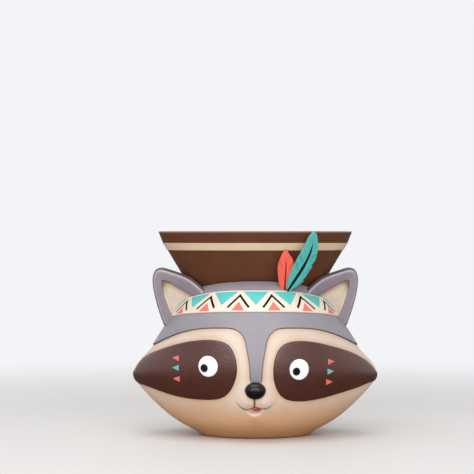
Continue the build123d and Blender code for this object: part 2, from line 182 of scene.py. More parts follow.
def headPoint(turn, high, gap=0.0):
    # a point of the head, moved out along the surface's own facing by the gap
    small = 0.004
    sideways = bareHead(turn + small, high) - bareHead(turn - small, high)
    upwards = bareHead(turn, high + 20 * small) - bareHead(turn, high - 20 * small)
    facing = np.cross(sideways, upwards)
    facing /= np.linalg.norm(facing, axis=-1, keepdims=True)
    return bareHead(turn, high) + facing * np.asarray(gap)[..., None]


def turnOf(across, high):
    # the turn whose point stands at this place in front view; past the widest place it goes round to the back
    ratio = across / widthAt(high)
    room = 1 - np.abs(ratio)
    turn = np.sign(room) * np.arccos(np.clip(1 - np.abs(room), -1, 1))
    return np.where(ratio >= 0, -turn, turn - math.pi)


muzzle = {
    "half": (24.0, 19.0), "middle": 45.0, "rise": 5.4, "puff": 2.6, "puffAt": (9.0, 42.0),
    "puffSize": (8.0, 8.0), "lip": 1.6, "lipAt": (0.0, 22.5), "lipSize": (7.8, 6.0),
}


def muzzleRise(across, high):
    # a low mound with two puffs and a lip, each of them a bell
    reach = np.hypot(across / muzzle["half"][0], (high - muzzle["middle"]) / muzzle["half"][1])
    rise = muzzle["rise"] * smoothStep(1.0, 0.15, reach)
    for side in (-1, 1):
        centre = (side * muzzle["puffAt"][0], muzzle["puffAt"][1])
        rise = rise + muzzle["puff"] * softSpot(across, high, centre, muzzle["puffSize"])
    return rise + muzzle["lip"] * softSpot(across, high, muzzle["lipAt"], muzzle["lipSize"])


def facePoint(across, high, gap=0.0):
    # a place of the face in front view, on the head and its muzzle
    return headPoint(turnOf(across, high), high, gap + muzzleRise(across, high))


def skin(rows, ends="poles", marks=None):
    # a grid of closed rings with its marks; the two ends run to a point each, or are joined to each other
    rows, marks = np.asarray(rows, float), marks or {}
    rings, around = rows.shape[:2]
    count = rings * around
    columns = [np.broadcast_to(mark, (rings, around))[..., None] for mark in marks.values()]
    table = np.concatenate([rows] + columns, -1)
    index = np.arange(count).reshape(rings, around)
    near = index if ends == "joined" else index[:-1]
    far = np.roll(index, -1, axis=0) if ends == "joined" else index[1:]
    quads = np.stack((near, np.roll(near, -1, axis=1), np.roll(far, -1, axis=1), far), -1).reshape(-1, 4)
    points, caps = table.reshape(count, -1), np.empty((0, 3), int)
    if ends == "poles":
        first, last = index[0], index[-1]
        caps = np.concatenate((np.stack((np.full(around, count), np.roll(first, -1), first), -1),
                               np.stack((np.full(around, count + 1), last, np.roll(last, -1)), -1)))
        points = np.concatenate((points, [table[0].mean(0), table[-1].mean(0)]))
    halves = np.concatenate((quads[:, :3], quads[:, [0, 2, 3]], caps))
    a, b, c = (points[halves[:, k], :3] for k in range(3))
    if np.einsum("ij,ij->i", a, np.cross(b, c)).sum() < 0:  # the volume is negative: it is inside out
        quads, caps = quads[:, ::-1], caps[:, ::-1]
    return points[:, :3], quads.tolist() + caps.tolist(), dict(zip(marks, points[:, 3:].T))


def placed(name, data):
    # a new object in the scene
    thing = bpy.data.objects.new(name, data)
    bpy.context.scene.collection.objects.link(thing)
    return thing


def dress(name, skins, slot, node, body="head"):
    # one piece from some closed skins in place of a node, with its marks kept as attributes for the finish
    points, faces, start = [], [], 0
    for skinPoints, skinFaces, _ in skins:
        points.append(skinPoints)
        faces += [[corner + start for corner in face] for face in skinFaces]
        start += len(skinPoints)
    mesh = bpy.data.meshes.new(name)
    mesh.from_pydata((np.concatenate(points) * metre).tolist(), [], faces)
    mesh.polygons.foreach_set("use_smooth", np.ones(len(faces), bool))
    for mark in skins[0][2]:
        values = [marks.get(mark, np.zeros(len(places))) for places, _, marks in skins]
        mesh.attributes.new(mark, "FLOAT", "POINT").data.foreach_set("value", np.concatenate(values))
    mesh.materials.append(finishes[slot])
    mesh.update()
    piece = placed(name, mesh)
    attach(piece, body)
    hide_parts(node)


pillowRings = {"edge": 9, "edgeWidth": 1.3, "edgeMost": 0.6, "middle": 0.97}


def pillow(outline, place, base, rise, rim, sink, bulge=0.0, rings=14, rimMark=1.0, backRings=3, more=None):
    # a layer inside an outline: its height climbs a quarter circle from the edge and bulges to the middle
    centre = outline.mean(axis=0)
    size = np.linalg.norm(outline - centre, axis=1).mean()
    edgeShare = min(pillowRings["edgeMost"], pillowRings["edgeWidth"] * rim / size)
    shares = edgeShare * np.linspace(0, 1, pillowRings["edge"]) ** 2
    shares = np.concatenate((shares, np.linspace(edgeShare, pillowRings["middle"], rings)[1:]))
    flat = blend(outline, centre, shares[:, None, None])
    apart = gapTo(dividedPath(outline, 4 * len(outline), closed=True), flat)
    high = base + rise * quarterClimb(apart, rim) + bulge * np.sin(apart / apart.max() * math.pi / 2)
    top = place(flat[..., 0], flat[..., 1], high)
    under = blend(outline, centre, np.linspace(0, pillowRings["middle"], backRings)[:, None, None])
    bottom = place(under[..., 0], under[..., 1], np.full(under.shape[:2], base - sink))
    # the edge mark, 1 at the rim and on the underside, carries painted shade along the rim of each raised
    # layer, and a painted highlight on the feathers' rims
    marks = {"edge": np.concatenate(((1 - smoothStep(0, rimMark, apart))[::-1], np.ones(under.shape[:2])))}
    if more:
        marks.update(more(np.concatenate((flat[::-1], under)), marks["edge"]))
    return skin(np.concatenate((top[::-1], bottom)), "poles", marks)


def stroke(path, halfWidths, place, base, rise, sink=0.3, around=12):
    # a raised line carried along a path: half an oval above its base and flat below, with mitred corners
    path = np.asarray(path, float)
    run = np.diff(path, axis=0)
    run /= np.linalg.norm(run, axis=1, keepdims=True)
    side = np.stack((-run[:, 1], run[:, 0]), -1)
    before, after = np.concatenate((side[:1], side)), np.concatenate((side, side[-1:]))
    mitre = (before + after) / (1 + (before * after).sum(-1, keepdims=True))
    angle = fullTurn(around)
    widths = np.broadcast_to(np.asarray(halfWidths, float), (len(path),))
    flat = path[:, None] + mitre[:, None] * (widths[:, None] * np.cos(angle))[..., None]
    up = np.sin(angle)
    high = base + np.where(up > 0, rise * up, np.where(up < -0.01, -sink, 0))
    rows = place(flat[..., 0], flat[..., 1], np.broadcast_to(high, flat.shape[:2]))
    return skin(rows, "poles", {"edge": 0})


# Paints

def tint(color):
    # a screen colour of 0 to 255 as the plain light that the shader takes
    part = np.array(color) / 255
    light = np.where(part > 0.04045, ((part + 0.055) / 1.055) ** 2.4, part / 12.92)
    return (*light.tolist(), 1.0)


class Wiring:
    # the shader nodes of a finish or of the world, added one after another
    def __init__(self, owner):
        owner.use_nodes = True
        self.owner = owner
        self.nodes = owner.node_tree.nodes
        self.links = owner.node_tree.links

    def feed(self, node, values):
        # sockets by name or in order: numbers and colours are set on them, everything else is linked to them
        sockets = [socket for socket in node.inputs if socket.enabled]
        if isinstance(values, dict):
            sockets = [node.inputs[name] for name in values]
            values = values.values()
        for socket, value in zip(sockets, values):
            if isinstance(value, (int, float, tuple)):
                socket.default_value = value
            else:
                self.links.new(value, socket)

    def add(self, kind, values=(), **settings):
        # a new node with its settings, fed with the values
        node = self.nodes.new("ShaderNode" + kind)
        for name, setting in settings.items():
            setattr(node, name, setting)
        self.feed(node, values)
        return node

    def ramp(self, value, low, high, first=0.0, last=1.0):
        # first up to low, last from high on, and eased between them
        node = self.add("MapRange", (value, low, high, first, last), interpolation_type="SMOOTHSTEP")
        return node.outputs["Result"]

    def compute(self, operation, *values):
        # one step of arithmetic
        return self.add("Math", values, operation=operation).outputs["Value"]

    def times(self, first, second):
        # the product of two values
        return self.compute("MULTIPLY", first, second)

    def mix(self, share, first, second):
        # first at share 0, second at share 1
        node = self.add("Mix", (share, first, second), data_type="RGBA")
        return [socket for socket in node.outputs if socket.enabled][0]


surface = {"lumps": 0.006, "spread": 0.06, "relief": 0.0004, "clouds": 0.5, "lift": 0.8, "grooves": 0.8,
           "splits": 0.9}


class Paint(Wiring):
    # a finish that is worked out from the place on the object and from the marks of its mesh
    def __init__(self, slot):
        first, *rest = slot.split("_")
        super().__init__(bpy.data.materials.new(first + "".join(word.capitalize() for word in rest)))
        self.shader = self.nodes["Principled BSDF"]
        self.where = self.add("TexCoord").outputs["Object"]

    def noise(self, size, detail=3.0, rough=0.5):
        # cloudy noise with lumps of about this size in metres
        return self.add("TexNoise", (self.where, 1 / size, detail, rough)).outputs["Fac"]

    def mark(self, name):
        # a mark of the mesh
        return self.add("Attribute", attribute_name=name).outputs["Fac"]

    def finishWith(self, color, rough, grain, gloss=0.5, grainSize=0.0012, strokes=None):
        # colour, uneven roughness, and a fine grain or the brush strokes that stand in for it
        low, high = rough - surface["spread"], rough + surface["spread"]
        uneven = self.ramp(self.noise(surface["lumps"], 4.0), 0.3, 0.7, low, high)
        if strokes is None:
            strokes = self.noise(grainSize, 4.0, 0.6)
        bump = self.add("Bump", {"Strength": grain, "Distance": surface["relief"], "Height": strokes})
        self.feed(self.shader, {"Base Color": color, "Roughness": uneven, "Specular IOR Level": gloss,
                                "Normal": bump.outputs["Normal"]})
        return self.owner


facePaint = {
    "tones": ((223, 206, 190), (216, 189, 163), (205, 150, 97), (244, 230, 218), (70, 22, 4)),
    "bottomShadeFrom": 0.066, "bottomShadeShare": 0.95, "airbrushShadeShare": 0.75, "rough": 0.5, "grain": 0.25,
}


def creamFinish():
    # cream resin: darker and warmer towards the foot, partly airbrushed tone and partly painted warm bounce
    # light and shade; airbrushed tone with painted shade beside the patches and the cap's edge, and a painted
    # shadow under the lip; a painted highlight on the lip, and pale on the puffs
    paint = Paint("cream_resin")
    light, warm, low, pale, line = map(tint, facePaint["tones"])
    color = paint.mix(paint.ramp(paint.noise(0.035, 4.0, 0.55), 0.35, 0.75, 0.0, 0.45), light, warm)
    height = paint.add("SeparateXYZ", (paint.where,)).outputs["Z"]
    # painted warm bounce light and shade mixed with airbrushed tone: darker and warmer towards the foot
    color = paint.mix(paint.ramp(height, facePaint["bottomShadeFrom"], 0.0, 0.0, facePaint["bottomShadeShare"]), color, low)
    # airbrushed tone mixed with painted shade beside the raised patches and cap, and a painted shadow under
    # the lip
    color = paint.mix(paint.times(paint.mark("wash"), facePaint["airbrushShadeShare"]), color, low)
    # a painted highlight along the lower lip, and a paler tone on the two puffs
    color = paint.mix(paint.mark("pale"), color, pale)
    color = paint.mix(paint.mark("line"), color, line)
    return paint.finishWith(color, facePaint["rough"], facePaint["grain"])


finishes = {"cream_resin": creamFinish()}


def plainPaint(slot, light, dark, edge, rough=0.5, cloudSize=0.02, edgeShare=1.0, grain=0.25, gloss=0.5,
               lift=None, barbs=None, grainSize=0.0012):
    # clouds between two tones, a third one at the edge of the layer as painted shade along its rim (a painted
    # highlight on the feathers), a lighter tone where the light mark is (a painted highlight on the ear
    # ridges and rims and on the pot's rim); barbs are waves
    paint = Paint(slot)
    cloud = paint.ramp(paint.noise(cloudSize, 5.0, 0.6), 0.3, 0.75, 0.0, surface["clouds"])
    color = paint.mix(cloud, tint(light), tint(dark))
    color = paint.mix(paint.times(paint.mark("edge"), edgeShare), color, tint(edge))
    if lift:
        color = paint.mix(paint.times(paint.mark("light"), surface["lift"]), color, tint(lift))
    strokes = None
    if barbs:
        pitch, groove = barbs
        # painted shade: darker in the troughs of the barbs and along the notch lines cut into the vane
        wave = paint.compute("SINE", paint.times(paint.mark("barb"), 2 * math.pi / pitch))
        strokes = paint.ramp(wave, -1.0, 1.0)
        color = paint.mix(paint.ramp(wave, 0.0, -1.0, 0.0, surface["grooves"]), color, tint(groove))
        color = paint.mix(paint.times(paint.mark("split"), surface["splits"]), color, tint(groove))
    finishes[slot] = paint.finishWith(color, rough, grain, gloss, grainSize, strokes)


plainPaint("grey_paint", (152, 148, 155), (136, 131, 138), (78, 58, 56), 0.52, 0.04)
plainPaint("band_ground", (240, 224, 208), (231, 210, 192), (96, 70, 62), 0.5, 0.01, 0.9)
plainPaint("band_teal", (88, 196, 194), (74, 184, 183), (64, 168, 168), 0.5, 0.006, 0.6)
plainPaint("band_coral", (238, 122, 106), (226, 106, 92), (206, 88, 76), 0.5, 0.006, 0.6)
plainPaint("dark_line", (20, 11, 9), (28, 17, 14), (20, 11, 9), 0.55, 0.004, gloss=0.1)
plainPaint("ear_grey", (140, 129, 137), (124, 113, 120), (74, 62, 68), 0.52, 0.03, lift=(206, 200, 208))
plainPaint("ear_cream", (212, 196, 176), (192, 173, 150), (128, 90, 52), 0.55, 0.012, 0.9,
           lift=(232, 214, 198))
plainPaint("patch_brown", (74, 28, 12), (62, 22, 9), (30, 12, 6), 0.34, 0.02, grain=1.0, gloss=0.75,
           grainSize=0.002)
plainPaint("eye_white", (248, 250, 252), (240, 243, 247), (120, 104, 100), 0.3, 0.01)
plainPaint("pupil_black", (12, 11, 12), (18, 17, 18), (10, 9, 10), 0.25, 0.004, gloss=0.25)
plainPaint("nose_black", (9, 10, 14), (6, 6, 9), (6, 6, 8), 0.27, 0.006, gloss=0.36)
plainPaint("mouth_pink", (224, 166, 156), (214, 152, 143), (170, 66, 56), 0.42, 0.004, lift=(244, 214, 196))
plainPaint("mark_coral", (232, 112, 96), (222, 100, 86), (190, 80, 70), 0.5, 0.003)
plainPaint("mark_teal", (112, 182, 180), (98, 168, 168), (78, 140, 140), 0.5, 0.003)
# the feathers' lighter edge tone is a painted highlight on their rounded rims
plainPaint("feather_coral_paint", (250, 104, 80), (234, 86, 64), (252, 148, 128), 0.5, 0.008, 0.5,
           barbs=(2.1, (190, 54, 40)))
plainPaint("feather_teal_paint", (80, 188, 180), (64, 168, 163), (150, 214, 206), 0.5, 0.008, 0.5,
           barbs=(2.1, (34, 112, 112)))
plainPaint("quill_red", (116, 22, 14), (100, 18, 12), (90, 16, 12), 0.5, 0.004, gloss=0.25)
plainPaint("quill_dark", (8, 12, 12), (16, 20, 20), (8, 12, 12), 0.5, 0.004, gloss=0.25)
plainPaint("pot_brown", (99, 56, 31), (84, 46, 25), (50, 28, 16), 0.45, 0.03, gloss=0.35,
           lift=(160, 128, 106))
plainPaint("stripe_cream", (222, 196, 166), (206, 176, 144), (150, 116, 84), 0.5, 0.015)
plainPaint("plug_rubber", (36, 35, 35), (44, 42, 42), (30, 30, 30), 0.75, 0.01)
print("finishes mixed")

# Pot: ovals stacked from the foot to the rim; each ring has its half width, half depth and height
pot = {
    "rimHigh": 202.7, "width": 193.8, "depth": 150.0, "wall": 4.0, "floor": 5.0, "stand": 36.0,
    "neckHigh": 139.0, "waistHigh": 100.0, "flare": 0.594, "collarFlare": 0.4, "neckTrim": 11.0,
    "footTrim": 6.0, "collar": 11.5, "collarProud": 0.5, "stripe": 7.2, "stripeProud": 0.6, "gap": 0.8,
    "bore": 14.0, "round": 1.2, "rimHighlight": (2.0, 0.9),
}
collarLow = pot["rimHigh"] - pot["collar"]
collarHalf = pot["width"] / 2 - pot["collarFlare"] * pot["collar"]
wallHalf = collarHalf - pot["collarProud"]
neckHalf = wallHalf - pot["flare"] * (collarLow - pot["neckHigh"])
waistHalf = neckHalf - pot["neckTrim"]
footHalf = waistHalf - pot["footTrim"]
ovalTrim = (pot["width"] - pot["depth"]) / 2
waistTrim = ovalTrim - pot["footTrim"]
potHeights = (pot["stand"], pot["waistHigh"], pot["neckHigh"], collarLow)
potWidths = (footHalf, waistHalf, neckHalf, wallHalf)
potDepths = (footHalf - waistTrim, waistHalf - waistTrim, neckHalf - ovalTrim, wallHalf - ovalTrim)


def insidePot(point, gap):
    # 1 - (across / half width) squared - (along / half depth) squared, which is above 0 inside the pot
    across = np.interp(point[..., 2], potHeights, potWidths) + gap
    along = np.interp(point[..., 2], potHeights, potDepths) + gap
    return 1 - (point[..., 0] / across) ** 2 - (point[..., 1] / along) ** 2


def crownEdge(turn, gap, room):
    # height where the head, moved out by the gap, meets the opening round the pot
    def outside(level):
        return insidePot(headPoint(turn, level, gap), room) < 0

    return halve(head["crownFrom"] * head["dome"], head["dome"], outside)


# Face: the cream shell with the ribs that carry the pot
shell = {
    "around": 530, "focus": 2.4, "focusAngle": 0.3, "footRound": 3.0, "opening": pot["gap"] + 0.2,
    "foot": (0.04, 0.3, 0.6, 0.85, 0.97, 0.995), "floor": (0.97, 0.6, 0.3, 0.05),
    "footLevels": (0, 0.1, 0.35, 0.8, 1.4), "faceLevels": (2.2, 66, 112), "browLevels": (66, 100, 28),
    "crownRows": 12, "innerRows": 16, "ribWidth": 6.0, "ribAcross": 28.0, "airbrushShadeWidth": 5.0, "airbrushShadeShare": 0.55,
    "capAirbrushShadeFrom": 45.0,
}
smile = {
    "zone": (30.0, 18.0, 62.0), "groove": 1.3, "grooveWidth": 1.0, "lineWidth": 0.75, "middle": -1.5,
    "ends": (21.0, 9.0), "lipHighlightWidth": 0.9, "puffPale": 0.55, "puffAt": (12.5, 41.0), "puffSize": (9.0, 8.1),
    "chin": 0.9, "lipShadowAt": (-1.0, 22.5), "lipShadowSize": (5.76, 3.2),
    "left": ((-18.2, 38.0), (-16.8, 35.9), (-14.8, 34.0), (-12.4, 32.6), (-10.0, 31.8), (-7.6, 31.6),
             (-4.5, 33.4), (-1.5, 35.7)),
    "right": ((-1.5, 35.7), (1.8, 34.5), (4.4, 33.4), (6.8, 32.9), (9.4, 33.0), (12.2, 33.8), (15.0, 35.6)),
    "philtrum": ((-1.3, 45.0), (-1.5, 35.7)),
    "lip": ((-8.2, 30.0), (-5.4, 27.6), (-1.4, 26.4), (3.6, 28.2), (7.2, 31.6)),
}
patch = {
    "rim": 2.2, "bulge": 0.5,
    "left": ((-18.2, 69.8), (-20.1, 83.2), (-25.9, 93.2), (-47.5, 98.2), (-79.7, 91.8), (-98.6, 84.3),
             (-113.2, 74.9), (-119.4, 66), (-122.2, 60), (-119.8, 54.2), (-110.4, 50.6), (-89, 44.9),
             (-70.8, 41.3), (-47.5, 40.3), (-29.7, 44.5), (-21.4, 55.9)),
    "right": ((16.4, 69.8), (18.3, 82.3), (24.1, 92.4), (43.3, 97.3), (67.8, 92.9), (86, 87.1), (104, 78.6),
              (112, 72.8), (118.8, 65.3), (122, 60), (120.2, 55), (112.4, 52.8), (104.3, 50.5), (87.8, 46.3),
              (69.9, 42.2), (43.4, 39), (25.2, 43.7), (17.7, 57.1)),
}
patchOutlines = {name: smoothPath(patch[name], 360, closed=True) for name in ("left", "right")}

capEdge = {
    "shares": ((0.045, 0.331), (0.055, 0.477), (0.077, 0.58), (0.105, 0.65), (0.155, 0.685), (0.255, 0.696),
               (0.422, 0.69), (0.562, 0.668), (0.711, 0.622), (0.806, 0.582), (0.87, 0.552)),
    "back": 0.54, "backTurn": 0.5, "rim": 1.3, "sunk": 0.3, "lip": 1.6, "lipDrop": 1.2, "straight": (8, 90),
    "rows": (0, 0.06, 0.18, 0.36, 0.6, 0.9, 1.3, 1.8, 2.6, 4.0), "shade": (0.15, 1.1),
    "inTop": -0.2, "inGap": -0.25, "inLow": 0.4,
}


def capEdgeLine():
    # the cap's lower edge as turn and height, from the nose bridge to the back, and then its mirror image
    curve = smoothPath(np.array(capEdge["shares"]) * (head["width"] / 2, head["dome"]), 150)
    turns = turnOf(curve[:, 0], curve[:, 1])
    bridge = np.stack((np.linspace(front, turns[0], 14)[:-1], np.full(13, curve[0, 1])), -1)
    behind = np.linspace(turns[-1], math.pi / 2, 130)[1:]
    ease = smoothStep(turns[-1], turns[-1] + capEdge["backTurn"], behind)
    backHigh = curve[-1, 1] + (head["dome"] * capEdge["back"] - curve[-1, 1]) * ease
    half = np.concatenate((bridge, np.stack((turns, curve[:, 1]), -1), np.stack((behind, backHigh), -1)))
    other = np.stack((-math.pi - half[:, 0], half[:, 1]), -1)[1:-1][::-1]
    return np.concatenate((half, other))


capLine = capEdgeLine()


def crowdedTurns(count):
    # turns right round the head, as dense as 1 + focus * a bell about the turn that faces the camera
    even = np.linspace(0, 2 * math.pi, 4000)
    crowd = 1 + shell["focus"] * bell(even - math.pi, shell["focusAngle"])
    run = np.concatenate(([0], np.cumsum((crowd[1:] + crowd[:-1]) / 2)))
    return np.interp(np.linspace(0, run[-1], count, endpoint=False), run, even) + front - math.pi


def airbrushAndShadeNear(across, high, outer, isFront):
    # airbrushed tone mixed with painted shade beside the raised layers: full at the edges of the patches and
    # of the cap, and gone a shade width away
    apart = np.full(high.shape, np.inf)
    places = np.stack((across, high), -1)[:, isFront]
    apart[:, isFront] = np.min([gapTo(edge, places) for edge in patchOutlines.values()], axis=0)
    zone = high > shell["capAirbrushShadeFrom"]
    apart[zone] = np.minimum(apart[zone], gapTo(headPoint(capLine[:, 0], capLine[:, 1]), outer[zone]))
    return 1 - smoothStep(0, shell["airbrushShadeWidth"], apart)


def faceShell():
    # rings from the middle of the underside up the outside to the crown, and down the inside to its floor
    turn = crowdedTurns(shell["around"])
    top = crownEdge(turn, 0.0, shell["opening"])
    levels = np.concatenate((shell["footLevels"], np.linspace(*shell["faceLevels"]),
                             np.linspace(*shell["browLevels"])[1:]))
    upper = blend(levels[-1], top, np.linspace(0, 1, shell["crownRows"])[1:, None])
    high = np.concatenate((np.broadcast_to(levels[:, None], (len(levels), len(turn))), upper))
    across = widthAt(high) * np.cos(turn)
    isFront = np.sin(turn) < 0
    rise = np.where(isFront, muzzleRise(across, high), 0)

    # the grooves of the mouth, their painted lines, a painted highlight on the lip, and the pale puffs
    aside, low, above = smile["zone"]
    near = (np.abs(across) < aside) & (high > low) & (high < above) & isFront
    x, y = across[near], high[near]
    places = np.stack((x, y), -1)
    drawn = [smoothPath(smile["left"], 90), smoothPath(smile["right"], 90)]
    drawn.append(dividedPath(smile["philtrum"], 40))
    lineGap = np.min([gapTo(line, places) for line in drawn], axis=0)
    rise[near] -= smile["groove"] * bell(lineGap, smile["grooveWidth"])
    outer = headPoint(turn, high, rise)
    line, pale = np.zeros(high.shape), np.zeros(high.shape)
    line[near] = bell(lineGap, smile["lineWidth"]) * smoothStep(*smile["ends"], np.abs(x - smile["middle"]))
    pale[near] = bell(gapTo(smoothPath(smile["lip"], 90), places), smile["lipHighlightWidth"])
    for side in (-1, 1):
        centre = (side * smile["puffAt"][0] + smile["middle"], smile["puffAt"][1])
        pale[near] = np.maximum(pale[near], smile["puffPale"] * softSpot(x, y, centre, smile["puffSize"]))

    # the foot's edge is rounded by a quarter circle
    pullIn = shell["footRound"] * (1 - quarterClimb(high, shell["footRound"]))
    outer[..., :2] *= (1 - pullIn / np.hypot(outer[..., 0], outer[..., 1]))[..., None]
    wash = airbrushAndShadeNear(across, high, outer, isFront)
    # a painted shadow under the lower lip
    wash[near] = np.maximum(wash[near], smile["chin"] * softSpot(x, y, smile["lipShadowAt"], smile["lipShadowSize"]))

    inTop = crownEdge(turn, -head["wall"], shell["opening"])
    inHigh = blend(inTop, head["wall"], np.linspace(0, 1, shell["innerRows"])[:, None])
    inner = headPoint(turn, inHigh, -head["wall"])
    foot = np.stack([outer[0] * (share, share, 1) for share in shell["foot"]])
    floor = np.stack([inner[-1] * (share, share, 1) for share in shell["floor"]])

    def padded(mark):
        return np.pad(mark, ((len(foot), len(inner) + len(floor)), (0, 0)))

    marks = {"wash": shell["airbrushShadeShare"] * padded(wash), "line": padded(line), "pale": padded(pale)}
    return skin(np.concatenate((foot, outer, inner, floor)), "poles", marks)


def ribSkin(across):
    # an upright rib from the floor of the head to the foot of the pot, as deep as the head's inside
    half, low = shell["ribWidth"] / 2, head["wall"] / 2
    corners = ((across - half, 0), (across + half, 0), (across + half, 1), (across - half, 1))
    ring = dividedPath(corners, 28, closed=True)
    sideways, high = ring[None, :, 0], blend(low, pot["stand"], ring[None, :, 1])
    inside = headPoint(turnOf(sideways, high), high, -low)
    along = np.linspace(-1, 1, 40)[:, None] * np.abs(inside[..., 1])
    return skin(np.stack(np.broadcast_arrays(sideways, along, high), -1))


ribs = [ribSkin(side * shell["ribAcross"]) for side in (-1, 1)]
dress("creamFace", [faceShell()] + ribs, "cream_resin", "head_shell")
print("face shell made")


def columnTurn(turn, low, high):
    # cos(turn) = cos at the edge * (half width at the edge / half width here) to the power 1 - side: a column
    # is straight in front view near the nose, where side is 0, and keeps its turn where side is 1
    behind = np.sin(turn) > 0
    across = np.abs(widthAt(low) * np.cos(turn))
    side = np.where(behind, 1, smoothStep(*np.log(capEdge["straight"]), np.log(across + 1)))
    reach = np.cos(turn) * (widthAt(low) / widthAt(high)) ** (1 - side)
    return np.where(behind, turn, -np.arccos(np.clip(reach, -1, 1)))


def crownCap():
    # a layer on the crown: columns go from its lower edge up to the opening, and it is thin at that edge
    turn, low = capLine[:, 0], capLine[:, 1]
    topTurn = turn
    for _ in range(6):
        top = crownEdge(topTurn, layers["cap"], pot["gap"])
        backTop = crownEdge(topTurn, capEdge["inTop"], pot["gap"])
        topTurn = columnTurn(turn, low, top)

    def place(high, gap=0.0):
        return headPoint(columnTurn(turn, low, high), high, gap)

    near = low + np.array(capEdge["rows"])[:, None]
    lip = top - capEdge["lip"]
    high = np.concatenate((near, blend(near[-1], lip, np.linspace(0, 1, 96)[1:, None])))
    apart = gapTo(place(low), place(high))
    outer = place(high, blend(-capEdge["sunk"], layers["cap"], quarterClimb(apart, capEdge["rim"])))
    turnOver = np.linspace(0, math.pi / 2, 7)[1:, None]
    lipRows = place(lip + capEdge["lip"] * np.sin(turnOver),
                    layers["cap"] - capEdge["lipDrop"] * (1 - np.cos(turnOver)))
    back = place(blend(backTop, low + capEdge["inLow"], np.linspace(0, 1, 8)[:, None]), capEdge["inGap"])
    shade = 1 - smoothStep(*capEdge["shade"], apart)
    edge = np.concatenate((shade, np.zeros(lipRows.shape[:2]), np.ones(back.shape[:2])))
    return skin(np.concatenate((outer, lipRows, back)), "joined", {"edge": edge})


dress("greyCrown", [crownCap()], "grey_paint", "crown_cap")
print("crown made")

for name, outline in patchOutlines.items():
    layer = pillow(outline, facePoint, 0.0, layers["cap"], patch["rim"], 0.5, patch["bulge"], rings=30,
                   backRings=10)
    dress("eyePatch" + name.capitalize(), [layer], "patch_brown", "eye_patch_" + name)
print("eye patches made")

eye = {
    "size": (18.8, 19.9), "left": (-44.9, 73.2), "right": (40.4, 70.5), "rise": 1.2, "rim": 2.6, "sink": 0.8,
    "bulge": 0.5, "pupil": (7.0, 7.4), "shift": -3.1, "drop": -1.7, "pupilRise": 0.5, "pupilRim": 1.2,
    "pupilUp": 0.42, "pupilSink": 0.6,
}
eyeBase = layers["cap"] + 0.8 * patch["bulge"]
pupilBase = eyeBase + eye["rise"] + eye["pupilUp"]


def ovalLine(across, high, size, count):
    # an oval of this width and height about a place of the face
    angle = fullTurn(count)
    return np.stack((across + size[0] / 2 * np.cos(angle), high + size[1] / 2 * np.sin(angle)), -1)


for name in ("left", "right"):
    across, high = eye[name]
    outline = ovalLine(across, high, eye["size"], 96)
    white = pillow(outline, facePoint, eyeBase, eye["rise"], eye["rim"], eye["sink"], eye["bulge"],
                   rimMark=0.7)
    dress("eyeWhite" + name.capitalize(), [white], "eye_white", "eye_white_" + name)
    outline = ovalLine(across + eye["shift"], high + eye["drop"], eye["pupil"], 64)
    black = pillow(outline, facePoint, pupilBase, eye["pupilRise"], eye["pupilRim"], eye["pupilSink"])
    dress("pupil" + name.capitalize(), [black], "pupil_black", "pupil_" + name)
print("eyes made")

cheek = {
    "length": 7.0, "tall": 5.9, "rise": 0.8, "rim": 1.6, "sink": 0.8,
    "coral": ((-80.3, 79.2), (-79.4, 60.1), (75.6, 76.2), (73.6, 57.4)),
    "teal": ((-80.3, 70.2), (74.9, 67.1)),
}


def cheekMark(across, high):
    # a small triangle that points outwards from the face, with its point at this place
    base = across - math.copysign(cheek["length"], across)
    corners = ((across, high), (base, high + cheek["tall"] / 2), (base, high - cheek["tall"] / 2))
    return pillow(dividedPath(corners, 48, closed=True), facePoint, layers["cap"] + 0.6 * patch["bulge"],
                  cheek["rise"], cheek["rim"], cheek["sink"], rings=5, rimMark=0.4)


for color in ("coral", "teal"):
    marks = [cheekMark(*place) for place in cheek[color]]
    dress("cheekMarks" + color.capitalize(), marks, "mark_" + color, "cheek_marks_" + color)
print("cheek marks made")

# Nose and mouth
noseShape = {"width": 20.2, "size": 16.6, "high": 50.6, "proud": 13.0, "droop": 0.02, "across": -0.8}


def noseSkin():
    # an egg across the muzzle: rings about its long axis, fuller on its upper half
    middle = noseShape["size"] / 2 - noseShape["proud"] - float(depthAt(noseShape["high"]))
    along = -np.cos(np.linspace(0, math.pi, 46))[1:-1, None]
    angle = fullTurn(56)
    radius = noseShape["size"] / 2 * np.sqrt(1 - along ** 2)
    narrow = 1 - noseShape["droop"] * smoothStep(0.2, -1, np.sin(angle))
    across = noseShape["across"] + noseShape["width"] / 2 * along * narrow
    high = noseShape["high"] + radius * np.sin(angle)
    return skin(np.stack((across, middle - radius * np.cos(angle), high), -1), "poles", {"edge": 0})


mouth = {
    "upper": ((-7.9, 31.7), (-4.6, 33.5), (-1.5, 35.4), (2.4, 34.3), (6.6, 33.2)),
    "lower": ((6.6, 33.2), (4.4, 29.4), (-1.4, 27.2), (-5.8, 28.9), (-7.9, 31.7)),
    "dark": (0.4, 33.6), "darkSize": (4.4, 2.1), "light": (30.4, 28.0), "base": -0.4, "rise": 1.1, "rim": 2.6,
    "sink": 0.6,
}


def mouthSkin():
    # a pillow between the two lines of the mouth, dark under the upper and light along the lower
    upper, lower = smoothPath(mouth["upper"], 34), smoothPath(mouth["lower"], 34)

    def markTones(flat, edge):
        inside = np.hypot(*np.moveaxis((flat - mouth["dark"]) / mouth["darkSize"], -1, 0))
        return {"edge": np.clip(1.5 - inside, 0, 1), "light": smoothStep(*mouth["light"], flat[..., 1])}

    return pillow(np.concatenate((upper[:-1], lower[:-1])), facePoint, mouth["base"], mouth["rise"],
                  mouth["rim"], mouth["sink"], rings=10, more=markTones)


dress("noseTip", [noseSkin()], "nose_black", "nose")
dress("mouthPink", [mouthSkin()], "mouth_pink", "tongue")
print("nose and mouth made")

